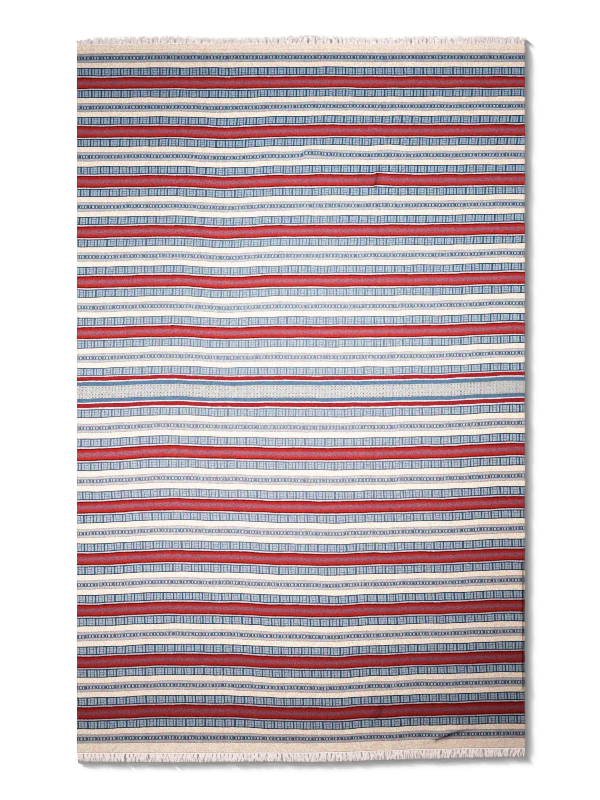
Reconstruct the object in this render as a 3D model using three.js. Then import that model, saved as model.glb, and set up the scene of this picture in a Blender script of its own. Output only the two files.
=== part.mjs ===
// A kilim rug: one flat-woven cotton cloth lying on the floor, with a knotted fringe at each end.
// Millimetres. +X runs from the left selvedge to the right one, +Y towards the head end, +Z up.
// The origin is on the floor, under the middle of the rug with its fringes.

import * as THREE from 'three';
import { mergeVertices } from 'three/addons/utils/BufferGeometryUtils.js';

// ---- Driving dimensions ---------------------------------------------------------------------

const CLOTH_WIDTH = 1524; // selvedge to selvedge, five feet
const CLOTH_LENGTH = 2405; // head end to foot end, at the left selvedge
const CLOTH_THICKNESS = 4; // weft-faced cotton
const SELVEDGE_CORD = 11; // width of the corded edge that rolls up on the right side
const CREASE_RUN_OUT = 85; // how far the shoulder beside a crease takes to lie flat again

const KNOT_GAP = 0.3; // between the cloth's last weft and the row of knots
const KNOT_ROW = 6.5; // how much of each fringe the knots take up
const TASSELS = 118; // in each fringe
const TASSEL_ROOT_WIDTH = 8.5;
const TASSEL_TIP_WIDTH = 6.5;
const FRINGE_THICKNESS = 3;

const HALF_WIDTH = CLOTH_WIDTH / 2;
const HALF_LENGTH = CLOTH_LENGTH / 2;

// The rug was stored folded in three, which left two creases along it. Each row is a cross-section,
// from foot to head: where the trough of each crease lies, half its width and the rise of its
// shoulders, and how far the cord of the right selvedge has rolled up off the floor.
const SECTIONS = [
  { along: -1202, left: -266, leftHalf: 40, leftRise: 0.5, right: 270, rightHalf: 26, rightRise: 2, roll: 0 },
  { along: -1060, left: -266, leftHalf: 40, leftRise: 0.5, right: 270, rightHalf: 26, rightRise: 2, roll: 0 },
  { along: -960, left: -265, leftHalf: 40, leftRise: 0.5, right: 267, rightHalf: 25, rightRise: 2, roll: 2.5 },
  { along: -730, left: -264, leftHalf: 40, leftRise: 0.5, right: 261, rightHalf: 23, rightRise: 2, roll: 2.5 },
  { along: -620, left: -263, leftHalf: 39, leftRise: 0.5, right: 257, rightHalf: 20, rightRise: 1.9, roll: 0 },
  { along: -396, left: -262, leftHalf: 38, leftRise: 0.7, right: 248, rightHalf: 16, rightRise: 1.8, roll: 0 },
  { along: -150, left: -262, leftHalf: 36, leftRise: 1.1, right: 252, rightHalf: 12, rightRise: 1.6, roll: 0 },
  { along: 150, left: -263, leftHalf: 34, leftRise: 1.8, right: 256, rightHalf: 11, rightRise: 1.6, roll: 0 },
  { along: 500, left: -264, leftHalf: 32, leftRise: 2.2, right: 262, rightHalf: 11, rightRise: 1.8, roll: 0 },
  { along: 725, left: -264, leftHalf: 30, leftRise: 2.2, right: 269, rightHalf: 17, rightRise: 2.2, roll: 0 },
  { along: 845, left: -262, leftHalf: 30, leftRise: 2.2, right: 294, rightHalf: 13, rightRise: 2.4, roll: 0 },
  { along: 1000, left: -260, leftHalf: 30, leftRise: 2, right: 290, rightHalf: 18, rightRise: 1.7, roll: 0 },
  { along: 1202, left: -258, leftHalf: 30, leftRise: 1.6, right: 286, rightHalf: 26, rightRise: 1.4, roll: 0 },
];

// Half of a crease's profile, from its trough outwards: trough on the floor, shoulder, run-out.
const CREASE_PROFILE = [
  { troughs: 1, runOuts: 0.0, rise: 1.0 },
  { troughs: 1, runOuts: 0.4, rise: 0.6 },
  { troughs: 1, runOuts: 1.0, rise: 0.0 },
];

// The two ends from the left selvedge to the right one: how far the cloth stops short of its full
// length, and how far the fringe reaches past the cloth.
const ENDS = [
  { across: -762, headShort: 5, headReach: 19, footShort: 0, footReach: 26 },
  { across: -700, headShort: 3, headReach: 29, footShort: 0.4, footReach: 29 },
  { across: -430, headShort: 0, headReach: 30, footShort: 0.2, footReach: 31 },
  { across: -260, headShort: 0.6, headReach: 25, footShort: 1, footReach: 30 },
  { across: -120, headShort: 0.2, headReach: 27, footShort: 2, footReach: 30 },
  { across: 20, headShort: 0.5, headReach: 33, footShort: 1.6, footReach: 31 },
  { across: 140, headShort: 0, headReach: 29, footShort: 4, footReach: 32 },
  { across: 270, headShort: 1, headReach: 26, footShort: 9, footReach: 32 },
  { across: 430, headShort: 0.3, headReach: 30, footShort: 14, footReach: 33 },
  { across: 620, headShort: 0.8, headReach: 32, footShort: 17, footReach: 31 },
  { across: 762, headShort: 1.4, headReach: 30, footShort: 18, footReach: 29 },
];

// Each end of the rug: its side of the middle, its cross-section and its columns in ENDS.
const HEAD = { side: 1, section: SECTIONS[SECTIONS.length - 1], short: 'headShort', reach: 'headReach' };
const FOOT = { side: -1, section: SECTIONS[0], short: 'footShort', reach: 'footReach' };

// ---- Lines of the cloth -----------------------------------------------------------------------

// A column of ENDS at any distance across the rug, easing from row to row.
function alongEnds(column, across) {
  const next = ENDS.findIndex((row, index) => index > 0 && across <= row.across);
  const after = ENDS[next === -1 ? ENDS.length - 1 : next];
  const before = ENDS[ENDS.indexOf(after) - 1];
  const eased = THREE.MathUtils.smoothstep(across, before.across, after.across);
  return THREE.MathUtils.lerp(before[column], after[column], eased);
}

// The cloth's last weft at one end, as a distance along the rug.
function lastWeft(end, across) {
  return end.side * (HALF_LENGTH - alongEnds(end.short, across));
}

// A cross-section's distance along the rug: the first and last ones follow the cloth's ends.
function alongAt(row, across) {
  if (row === 0) return lastWeft(FOOT, across);
  if (row === SECTIONS.length - 1) return lastWeft(HEAD, across);
  return SECTIONS[row].along;
}

// The stations of one crease across the rug: run-out, shoulder, trough, shoulder, run-out.
function creaseStations(at, half, rise) {
  const shoulder = (side) => CREASE_PROFILE.map((point) => ({
    across: at + side * (point.troughs * half + point.runOuts * CREASE_RUN_OUT),
    lift: point.rise * rise,
  }));
  return [...shoulder(-1).reverse(), { across: at, lift: 0 }, ...shoulder(1)];
}

// All stations of a cross-section, each with the lift of the cloth's underside off the floor.
function stations(section) {
  return [
    { across: -HALF_WIDTH, lift: 0 },
    { across: -HALF_WIDTH * 0.75, lift: 0 },
    ...creaseStations(section.left, section.leftHalf, section.leftRise),
    { across: 0, lift: 0 },
    ...creaseStations(section.right, section.rightHalf, section.rightRise),
    { across: HALF_WIDTH * 0.75, lift: 0 },
    { across: HALF_WIDTH - SELVEDGE_CORD, lift: 0 },
    { across: HALF_WIDTH, lift: section.roll },
  ];
}

// ---- Pieces -----------------------------------------------------------------------------------

// The cloth is a box divided into one row of faces per section and one column per station,
// whose corners are then moved to where the cloth lies.
function clothGeometry() {
  const grid = SECTIONS.map(stations);
  const rows = grid.length - 1;
  const columns = grid[0].length - 1;
  const sheet = new THREE.BoxGeometry(columns, rows, 1, columns, rows, 1);
  const corners = sheet.attributes.position;

  for (let corner = 0; corner < corners.count; corner += 1) {
    const row = Math.round(corners.getY(corner) + rows / 2);
    const column = Math.round(corners.getX(corner) + columns / 2);
    const { across, lift } = grid[row][column];
    const isTop = corners.getZ(corner) > 0;
    corners.setXYZ(corner, across, alongAt(row, across), lift + (isTop ? CLOTH_THICKNESS : 0));
  }

  sheet.deleteAttribute('normal');
  sheet.deleteAttribute('uv');
  const closed = mergeVertices(sheet);
  closed.computeVertexNormals();
  return closed;
}

// How one tassel lies: neighbours lean the same way in clumps, and every tassel differs a little.
function tasselLie(index) {
  return {
    lean: 4.4 * Math.sin(0.37 * index) + 1.9 * Math.sin(1.9 * index + 1),
    fullness: 0.94 + 0.06 * Math.sin(2.7 * index),
    knot: KNOT_ROW + 0.6 * Math.sin(1.3 * index),
  };
}

// A fringe is one flat comb: the row of knots along the cloth's last weft, and the tassels.
function fringeGeometry(end) {
  const pitch = CLOTH_WIDTH / TASSELS;
  const knotsAt = (across) => lastWeft(end, across) + end.side * KNOT_GAP;
  const limit = (across) => THREE.MathUtils.clamp(across, -HALF_WIDTH, HALF_WIDTH);

  const clothSide = stations(end.section).map(({ across }) => new THREE.Vector2(across, knotsAt(across)));
  const tasselSide = [];
  for (let index = 0; index < TASSELS; index += 1) {
    const root = -HALF_WIDTH + (index + 0.5) * pitch;
    const { lean, fullness, knot } = tasselLie(index);
    const rootAlong = (across) => knotsAt(across) + end.side * knot;
    const tip = knotsAt(root) + end.side * alongEnds(end.reach, root) * fullness;
    const left = root - TASSEL_ROOT_WIDTH / 2;
    const right = root + TASSEL_ROOT_WIDTH / 2;
    tasselSide.push(
      new THREE.Vector2(left, rootAlong(left)),
      new THREE.Vector2(limit(root + lean - TASSEL_TIP_WIDTH / 2), tip),
      new THREE.Vector2(limit(root + lean + TASSEL_TIP_WIDTH / 2), tip),
      new THREE.Vector2(right, rootAlong(right)),
    );
  }

  const outline = new THREE.Shape([...clothSide.reverse(), ...tasselSide]);
  return new THREE.ExtrudeGeometry(outline, { depth: FRINGE_THICKNESS, bevelEnabled: false });
}

function piece(name, geometry, color) {
  const material = new THREE.MeshStandardMaterial({ color, roughness: 0.92, metalness: 0 });
  const mesh = new THREE.Mesh(geometry, material);
  mesh.name = name;
  return mesh;
}

// ---- The rug ----------------------------------------------------------------------------------

const laid = new THREE.Group();
laid.add(
  piece('cloth', clothGeometry(), '#a8383c'),
  piece('fringe_head', fringeGeometry(HEAD), '#e6dbd9'),
  piece('fringe_foot', fringeGeometry(FOOT), '#e6dbd9'),
);

// The fringes reach unevenly, so the middle of the whole rug is found before it is centred.
const middle = new THREE.Box3().setFromObject(laid).getCenter(new THREE.Vector3());
laid.position.set(-middle.x, -middle.y, 0);

const rug = new THREE.Group();
rug.add(laid);

export default rug;
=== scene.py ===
# %% [markdown]
# # Weaving a kilim rug in Blender
#
# A kilim is a flat-woven rug. Coloured wefts are beaten down so hard that they hide the warps,
# so the rug has no pile: all that shows is yarn, in bands, with a knotted fringe at each end.
# This lesson lays one out on a pale floor. The solid parts arrive already modelled and packed,
# and every step below dresses them with yarn, knots and light.

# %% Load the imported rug
import math
import random

import bpy
import mathutils
import numpy as np
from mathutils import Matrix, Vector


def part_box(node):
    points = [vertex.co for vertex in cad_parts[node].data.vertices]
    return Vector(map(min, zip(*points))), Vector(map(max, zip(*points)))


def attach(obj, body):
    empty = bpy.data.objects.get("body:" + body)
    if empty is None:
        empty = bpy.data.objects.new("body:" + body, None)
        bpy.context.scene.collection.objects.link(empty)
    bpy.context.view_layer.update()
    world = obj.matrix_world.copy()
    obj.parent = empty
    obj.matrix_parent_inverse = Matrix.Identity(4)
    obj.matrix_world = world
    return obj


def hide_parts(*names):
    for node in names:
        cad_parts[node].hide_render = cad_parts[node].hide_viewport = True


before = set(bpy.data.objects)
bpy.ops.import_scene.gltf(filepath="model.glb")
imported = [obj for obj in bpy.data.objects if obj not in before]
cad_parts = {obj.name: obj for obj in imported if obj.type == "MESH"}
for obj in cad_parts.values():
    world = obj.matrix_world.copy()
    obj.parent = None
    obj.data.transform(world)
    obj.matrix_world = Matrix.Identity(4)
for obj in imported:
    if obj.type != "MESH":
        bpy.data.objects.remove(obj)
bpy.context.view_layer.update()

# %% [markdown]
# ## Where everything is
#
# Every size below is in metres, in the frame of the solids: x runs across the rug to the right
# selvedge, y along it to the head end, and z up from the floor. The box of the cloth gives the
# two selvedges and the two ends, so nothing has to be fitted by eye. `MM` lets the tables read
# in millimetres, which is how a weaver would write them down.

# %% Sizes of the rug
MM = 0.001
cloth_low, cloth_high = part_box("cloth")
HALF_WIDTH = cloth_high[0]
HEAD_LINE = cloth_high[1]
FOOT_LINE = cloth_low[1]
THICKNESS = 4 * MM
LOOM_WIDTH = 1.524
RIBS = 552
RIB = LOOM_WIDTH / RIBS  # one warp, which shows as a fine rib under the wefts
PICK = 1.05 * MM  # one pass of the weft, beaten down
RIBS_PER_CELL = 12
CELL = RIBS_PER_CELL * RIB
FIRST_CELL = 16.8 * MM  # from the left selvedge to the first dark bar
print(f"cloth {2 * HALF_WIDTH:.3f} m wide, {HEAD_LINE - FOOT_LINE:.3f} m long, cell {CELL / MM:.1f} mm")

# %% [markdown]
# ## The camera
#
# The rug is looked at from straight above, like a page. A long lens from six metres up keeps the
# edges parallel. The camera comes first, because everything else is judged through it.

# %% Camera
CAMERA_HEIGHT = 6.0
CAMERA_ACROSS, CAMERA_ALONG = -2.5 * MM, -5.1 * MM  # the place on the rug straight below it
LENS, SENSOR = 79.5, 36  # in millimetres
BLEND = 1.0  # how widely neighbouring rays are blended; narrow keeps single picks apart

camera_data = bpy.data.cameras.new("camera")
camera_data.lens = LENS
camera_data.sensor_width = SENSOR
camera = bpy.data.objects.new("camera", camera_data)
camera.location = (CAMERA_ACROSS, CAMERA_ALONG, CAMERA_HEIGHT)
bpy.context.scene.collection.objects.link(camera)
bpy.context.scene.camera = camera
bpy.context.scene.cycles.filter_width = BLEND
print("camera looks down from", CAMERA_HEIGHT, "m")

# %% [markdown]
# ## The yarns
#
# A dyer keeps one skein per colour, so the colours are named once, here, by a letter. Capitals
# and small letters pair a yarn with its paler or duller neighbour. The numbers are how much red,
# green and blue light the yarn gives back, in the linear scale that Blender shades in.

# %% Skeins
SKEINS = {
    "K": (0.01, 0.023, 0.041),  # indigo, the lines round the panes
    "I": (0.022, 0.041, 0.06),  # indigo worn paler, the upright bars
    "b": (0.034, 0.058, 0.078),  # faded indigo, the thin lines inside the panes
    "P": (0.22, 0.265, 0.33),  # blue-grey panes
    "W": (0.22, 0.3, 0.39),  # bleached white beside the indigo
    "w": (0.16, 0.21, 0.28),  # the same white, crossed by a faded pick
    "Z": (0.37, 0.41, 0.48),  # bleached white of the checks
    "C": (0.9, 0.62, 0.47),  # undyed cream
    "c": (0.9, 0.67, 0.53),  # undyed cream, picked cleaner
    "A": (0.98, 0.69, 0.53),  # peach
    "O": (0.72, 0.48, 0.38),  # tan line
    "N": (0.66, 0.43, 0.32),  # brown line at the foot
    "T": (0.22, 0.18, 0.17),  # taupe
    "t": (0.36, 0.31, 0.28),  # taupe, half covered
    "L": (0.33, 0.31, 0.32),  # lavender grey
    "S": (0.04, 0.076, 0.13),  # plain blue
    "R": (0.24, 0.0065, 0.005),  # madder red
    "r": (0.275, 0.009, 0.006),  # the same red, from an orange dye lot
    "D": (0.054, 0.002, 0.002),  # deep red
    "X": (0.17, 0.005, 0.007),  # crimson, the narrow lines in the middle
    "V": (0.18, 0.039, 0.055),  # mauve
    "v": (0.22, 0.06, 0.08),  # pale mauve
    "U": (0.125, 0.028, 0.049),  # purple
    "F": (0.4, 0.39, 0.39),  # off-white of the speckled field
    "f": (0.32, 0.26, 0.25),  # the same, a pink fleck
    "G": (0.25, 0.27, 0.25),  # the same, a green fleck
    "E": (0.04, 0.038, 0.034),  # grey-brown dots
    "e": (0.1, 0.093, 0.084),  # faint dots
    "J": (0.074, 0.093, 0.12),  # indigo thinned with white, the lines of the check
    "M": (0.2, 0.22, 0.26),  # indigo washed pale by painted glare, the mean of the panes
    "H": (0.6, 0.45, 0.51),  # bleached white lines beside the red
}
YARN = {letter: (*skein, 1.0) for letter, skein in SKEINS.items()}
print(len(YARN), "skeins of yarn")

# %% [markdown]
# ## The draft
#
# A weaver works from a draft: for each band, how tall each row is and which yarn crosses which
# rib. Here a row is `(height in mm, chart)`, from the head side of the band to its foot side. A
# chart of one letter is plain. A chart of twelve letters is one cell, rib by rib, and repeats
# across the rug. A chart that starts with `~` is a heather yarn, whose colours come up at random
# in long flecks; one that starts with `*` has short flecks.

# %% Charts
PANES = "IIWWbPPPPbWW"
PANE_LINE = "IIwwbbbbbbww"
CHECKS = "KZbKZZbKZwbb"
TAUPE = "TTtTTtTTtTTt"
DOTS = "EEFFeeFFeeFF"
MOTTLE = "*FfFGFefG"
RED_TO_MAUVE = "~RURRVRUR"
MAUVE = "~VvVUVvVV"
MAUVE_TO_RED = "~rVrUrVrr"
print("one cell of the panes:", PANES)

# %% [markdown]
# The bands are named for what a visitor would call them. Most of the rug is the same four bands
# again and again, and only the middle and the two ends are woven once.

# %% Bands
BANDS = {
    "head_end": [(14.5, "A"), (2.2, "O"), (3.3, "A"), (6, "C")],
    "check": [
        (3.4, TAUPE), (5.6, "L"), (3.6, "J"), (6.2, CHECKS), (3.6, "J"), (5.6, "L"), (3.4, TAUPE),
    ],
    "cream": [(3, "c"), (10, "C"), (3, "c")],
    "grid": [
        (4, "K"), (5.3, PANES), (1.9, PANE_LINE), (5.6, PANES), (1.9, PANE_LINE), (5.3, PANES), (4, "K"),
    ],
    "red": [
        (3.4, "H"), (4.6, "D"), (5.9, "R"), (3.6, RED_TO_MAUVE), (10.4, MAUVE), (5, MAUVE_TO_RED),
        (5.6, "r"), (4.7, "D"), (3.1, "H"),
    ],
    "middle": [
        (2.4, "H"), (2, "D"), (10.1, "X"), (2.2, "D"), (3.5, "H"), (14.2, "S"),
        (3, MOTTLE), (2.8, DOTS), (6.5, MOTTLE), (2.8, DOTS), (12.4, MOTTLE),
        (2.8, DOTS), (7.1, MOTTLE), (2.8, DOTS), (1.8, MOTTLE),
        (13.7, "S"), (3.5, "H"), (2.2, "D"), (10.8, "X"), (2.2, "D"), (4.6, "H"),
    ],
    "foot_end": [(29, "A"), (2, "N")],
}
HEIGHT = {name: sum(height for height, _ in rows) for name, rows in BANDS.items()}
print({name: round(height, 1) for name, height in HEIGHT.items()})

# %% [markdown]
# ## Beating the weft
#
# No weaver beats every pick equally hard, so one repeat comes out a few millimetres taller than
# the next. `RUNS` lists the bands from the head down, run by run, with the length each run came
# to on the loom. Stretching the drawn heights to those lengths places every band.

# %% Walk down the rug
REPEAT = ["red", "grid", "cream", "check", "cream", "grid"]
RUNS = [
    (105.5, ["head_end", "check", "cream", "grid"]),
    (165, REPEAT), (168, REPEAT), (170, REPEAT), (168, REPEAT), (173, REPEAT), (169.4, REPEAT),
    (112.2, ["middle"]),
    (128.9, ["grid", "cream", "check", "cream", "grid"]),
    (180, REPEAT), (177, REPEAT), (174, REPEAT), (175, REPEAT), (172, REPEAT),
    (164.6, ["red", "grid", "cream", "check", "foot_end"]),
]

bands = []  # (name, distance of its head side from the head line, its length), in metres
walked = 0.0
for run_length, names in RUNS:
    beat = run_length / sum(HEIGHT[name] for name in names)
    for name in names:
        bands.append((name, walked, HEIGHT[name] * beat * MM))
        walked += HEIGHT[name] * beat * MM
WOVEN_LENGTH = walked
print(len(bands), "bands,", round(WOVEN_LENGTH, 4), "m woven")

# %% [markdown]
# ## Reading a table smoothly
#
# Cloth has no corners, so a table of measurements must be read without kinks. `ease` is the
# smooth step that starts and stops gently. `read_row` eases from one entry to the next, and
# `read_table` does so across the rug and along it at once. A spline would do as well, but it
# overshoots between entries, and this never does.

# %% Smooth tables
def ease(t):
    return t * t * (3 - 2 * t)


def between(stops, x):
    """The entry before x, the one after, and how far x has eased from one to the other."""
    stops = np.asarray(stops, float)
    x = np.clip(x, stops[0], stops[-1])
    after = np.clip(np.searchsorted(stops, x, side="left"), 1, len(stops) - 1)
    before = after - 1
    return before, after, ease((x - stops[before]) / (stops[after] - stops[before]))


def read_row(stops, values, x):
    before, after, t = between(stops, x)
    values = np.asarray(values, float)
    return values[before] * (1 - t) + values[after] * t


def read_table(columns, rows, x, y):
    """rows is [(along, value at each column)]; x and y are arrays of one length, in millimetres."""
    below, above, t = between([along for along, *_ in rows], y)
    by_row = np.array([read_row(columns, values, x) for _, *values in rows])
    picked = np.arange(np.size(x))
    return by_row[below, picked] * (1 - t) + by_row[above, picked] * t


print("half-way between 2 and 6 the table reads", read_row([0, 1], [2, 6], 0.5))

# %% [markdown]
# ## The two ends
#
# Neither end of a hand-woven rug is square. These rows say, in the same millimetres that the
# solids were made with, how far the cloth stops short of its full length and how far the fringe
# reaches past it, so the dressed rug keeps the outline of its solids.

# %% Ends
ENDS_ACROSS = [-762, -700, -430, -260, -120, 20, 140, 270, 430, 620, 762]
HEAD_SHORT = [5, 3, 0, 0.6, 0.2, 0.5, 0, 1, 0.3, 0.8, 1.4]
HEAD_REACH = [19, 29, 30, 25, 27, 33, 29, 26, 30, 32, 30]
FOOT_SHORT = [0, 0.4, 0.2, 1, 2, 1.6, 4, 9, 14, 17, 18]
FOOT_REACH = [26, 29, 31, 30, 30, 31, 32, 32, 33, 31, 29]
print("the foot end is drawn in by", max(FOOT_SHORT), "mm, the head end by", max(HEAD_SHORT))

# %% [markdown]
# ## How the wefts and warps run
#
# Hand-woven bands are never straight. Each pick bows a few millimetres towards one end or the
# other, and the warps drift sideways in the middle of the loom. Both drifts are short tables of
# rounded millimetres. Small waves and a few puckers, where the cloth was pushed along,
# come on top of them.

# %% Bows, drifts, ripples and puckers
# How far each weft has bowed towards the head: along, then the bow at each place across.
WEFT_ACROSS = [-750, -430, -255, -60, 110, 250, 430, 740]
WEFT_BOW = [
    (-1060, -7, 2, 1, -7, -9, -1, 6, 13),
    (-540, -6, 5, 2, -5, -8, -3, 1, 11),
    (-200, -8, 4, 0, -4, -5, -3, 1, 12),
    (80, -7, 1, -5, -3, -4, -2, 1, 12),
    (400, -6, 0, -8, -1, -1, 0, 2, 9),
    (900, -3, -1, -7, 0, 3, 2, 2, 4),
    (1130, -3, -1, -1, 1, 2, 0, 1, 1),
]

# How far each warp has drifted towards the left selvedge: along, then the drift at each place.
WARP_ACROSS = [-680, 0, 405]
WARP_DRIFT = [
    (-1200, 12, 8, 9), (-1060, 14, 11, 12), (-890, 17, 17, 20), (-540, 23, 28, 32), (-180, 36, 38, 40),
    (230, 24, 33, 38), (400, 19, 29, 34), (740, 5, 14, 21), (1080, 0, 0, 0),
]

# Small waves that run through the wefts: turns per millimetre across and along, phase, height.
RIPPLES = [
    (0.0071, 0.0049, 0.4, 0.4), (0.0049, -0.0113, 2.6, 0.4),
    (0.0137, 0.0021, 5.1, 0.2), (0.0233, 0.0167, 1.3, 0.12),
]

# Places where the cloth was pushed towards the head: across, along, how far the push runs
# along the rug, how fast it starts on the left, how slowly it fades on the right, and its size.
PUCKERS = [
    (14, 828, 20, 8, 95, 9), (256, 742, 42, 6, 55, 5), (297, 845, 18, 25, 30, 4),
    (-490, -160, 60, 60, 60, 2), (505, -1136, 22, 12, 60, 3.5), (-60, -1170, 20, 30, 60, -2),
]


def waves(table, x, y):
    """The sum of a few slow sine waves over the cloth."""
    return sum(
        height * np.sin(2 * np.pi * (per_x * x + per_y * y) + phase)
        for per_x, per_y, phase, height in table
    )


def push(x, y):
    """How far the puckers shift a point towards the head."""
    total = np.zeros(np.shape(x))
    for place, along, run, sudden, slow, size in PUCKERS:
        away = x - place
        total += size * np.exp(-((y - along) / run) ** 2 - (away / np.where(away < 0, sudden, slow)) ** 2)
    return total


print(len(WEFT_BOW), "bowed wefts,", len(WARP_DRIFT), "drifting warps,", len(PUCKERS), "puckers")

# %% [markdown]
# ## From the draft to the floor
#
# Two functions now bend the whole draft. `weft_line` says where a drawn weft really lies, and
# near each end it hands over from the bow to the line of that end. `warp_place` says which warp
# lies at a place. Bending the places, and not the pattern, keeps every chart as it was drawn.

# %% Wefts and warps in place
HEAD_ZONE, FOOT_ZONE = 1110, -1100  # beyond these, in mm along, the ends' own lines take over


def weft_line(across, drawn):
    """Where the weft drawn at this distance from the head line really lies, along the rug."""
    x, y = across / MM, (HEAD_LINE - drawn) / MM
    bow = read_table(WEFT_ACROSS, WEFT_BOW, x, y) + waves(RIPPLES, x, y) + push(x, y)
    head_bow = -read_row(ENDS_ACROSS, HEAD_SHORT, x)
    foot_bow = (FOOT_LINE - HEAD_LINE + WOVEN_LENGTH) / MM + read_row(ENDS_ACROSS, FOOT_SHORT, x)
    to_head = ease(np.clip((y - HEAD_ZONE) / (HEAD_LINE / MM - HEAD_ZONE), 0, 1))
    to_foot = ease(np.clip((FOOT_ZONE - y) / (WOVEN_LENGTH / MM - HEAD_LINE / MM + FOOT_ZONE), 0, 1))
    bow = bow * (1 - to_head) + head_bow * to_head
    bow = bow * (1 - to_foot) + foot_bow * to_foot
    return (y + bow) * MM


def warp_place(across, along):
    """Which warp lies there, as its distance from the left selvedge on the loom."""
    drift = read_table(WARP_ACROSS, WARP_DRIFT, across / MM, along / MM)
    return across + HALF_WIDTH + drift * MM


corners = weft_line(np.array([-HALF_WIDTH, HALF_WIDTH]), np.array([0.0, WOVEN_LENGTH]))
print("head line at its left end", round(float(corners[0]), 4), "m")
print("foot line at its right end", round(float(corners[1]), 4), "m")

# %% [markdown]
# ## Storage creases
#
# The rug was stored folded in three, and two soft troughs still run down it. Their place, half
# width and the rise of their shoulders are tables again, with the numbers that the solids were
# made from. A sculpted crease would look as good, but a table can be read back, and it keeps the
# troughs of the dressed rug where the solids have theirs.

# %% Creases
# Each row, in millimetres: along, place across, half width, rise of the shoulders.
LEFT_CREASE = [
    (-1202, -266, 40, 0.5), (-396, -262, 38, 0.7), (-150, -262, 36, 1.1), (150, -263, 34, 1.8),
    (500, -264, 32, 2.2), (845, -262, 30, 2.2), (1202, -258, 30, 1.6),
]
RIGHT_CREASE = [
    (-1202, 270, 26, 2), (-960, 267, 25, 2), (-730, 261, 23, 2), (-620, 257, 20, 1.9), (-396, 248, 16, 1.8),
    (-150, 252, 12, 1.6), (150, 256, 11, 1.6), (500, 262, 11, 1.8), (725, 269, 17, 2.2), (845, 294, 13, 2.4),
    (1000, 290, 18, 1.7), (1202, 286, 26, 1.4),
]
CREASE_RUN_OUT = 85  # how far a shoulder takes to lie flat again


def crease_lift(table, x, y):
    """A trough on the floor between two shoulders that run out flat."""
    stops, *columns = zip(*table)
    place, half, rise = (read_row(stops, column, y) for column in columns)
    away = np.abs(x - place)
    inside = ease(np.clip(away / half, 0, 1))
    outside = 1 - ease(np.clip((away - half) / CREASE_RUN_OUT, 0, 1))
    return rise * np.where(away < half, inside, outside)


print("the right crease wanders from", RIGHT_CREASE[0][1], "to", RIGHT_CREASE[-1][1], "mm across")

# %% [markdown]
# ## Tucks and cockles
#
# A few tucks never ironed out: low ridges, gentle on one side and steep on the other, where the
# cloth has been pushed together. A long tuck is a chain of short straight ridges, and only the
# highest of them counts at any place, so where two meet they don't pile up. The whole sheet
# cockles too, by a fraction of a millimetre, as cotton does when it dries.

# %% How the cloth is lifted
# Start, end, half width of the gentle side, of the steep side on the right when walked from
# start to end, and height.
TUCKS = [
    ((246, 688), (258, 757), 16, 4, 7), ((258, 757), (272, 800), 14, 5, 2),
    ((4, 800), (24, 836), 12, 3, 3.2),
    ((250, -1092), (269, -1058), 16, 4, 5),
    ((-352, -1167), (-315, -1190), 8, 2.5, 1.6),
    ((410, -1172), (450, -1163), 18, 4, 2), ((455, -1160), (486, -1148), 24, 4, 7),
    ((486, -1148), (506, -1139), 26, 4.5, 8), ((506, -1139), (541, -1127), 26, 4.5, 4),
    ((750.5, -985), (750.5, -560), 20, 2.2, 0.8),
    ((733, -999), (755, -986), 6, 3, 1),
    ((-724, -1171), (-700, -1176), 6, 6, 1.6),
    ((-656, -1180), (-620, -1199), 7, 7, 1.8),
    ((-614, -90), (-530, -244), 16, 16, 0.7),
]
FADE_SHARE, LEAST_FADE = 0.5, 3  # how far a tuck runs on past its ends, for its gentle half width
COCKLES = [(0.0041, 0.0113, 0.7, 0.18), (0.0163, -0.0047, 2.1, 0.13), (-0.0091, 0.0201, 4.4, 0.1)]


def tuck_lift(start, end, gentle, steep, height, x, y):
    """A low ridge along a line, gentle on one side and steep on the other, fading out at its ends."""
    run = np.subtract(end, start)
    length = np.hypot(*run)
    forward = ((x - start[0]) * run[0] + (y - start[1]) * run[1]) / length
    sideways = ((x - start[0]) * run[1] - (y - start[1]) * run[0]) / length
    beyond = np.maximum(np.abs(forward - length / 2) - length / 2, 0)
    fade = FADE_SHARE * gentle + LEAST_FADE
    half = np.where(sideways > 0, steep, gentle)
    return height * np.exp(-(sideways / half) ** 2 - (beyond / fade) ** 2)


def lift(across, along):
    """How far the underside of the cloth stands off the floor, in metres."""
    x, y = across / MM, along / MM
    rise = crease_lift(LEFT_CREASE, x, y) + crease_lift(RIGHT_CREASE, x, y)
    rise = rise + np.max([tuck_lift(*tuck, x, y) for tuck in TUCKS], axis=0)
    rise = rise + waves(COCKLES, x, y) + sum(height for *_, height in COCKLES)
    return rise * MM


SAMPLE_LINE = 0.5  # metres from the middle, towards the head
SAMPLES = 400  # places to measure at
sample = lift(np.linspace(-HALF_WIDTH, HALF_WIDTH, SAMPLES), np.full(SAMPLES, SAMPLE_LINE))
print(f"the cloth lifts up to {sample.max() / MM:.1f} mm, {SAMPLE_LINE} m from the middle")
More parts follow.
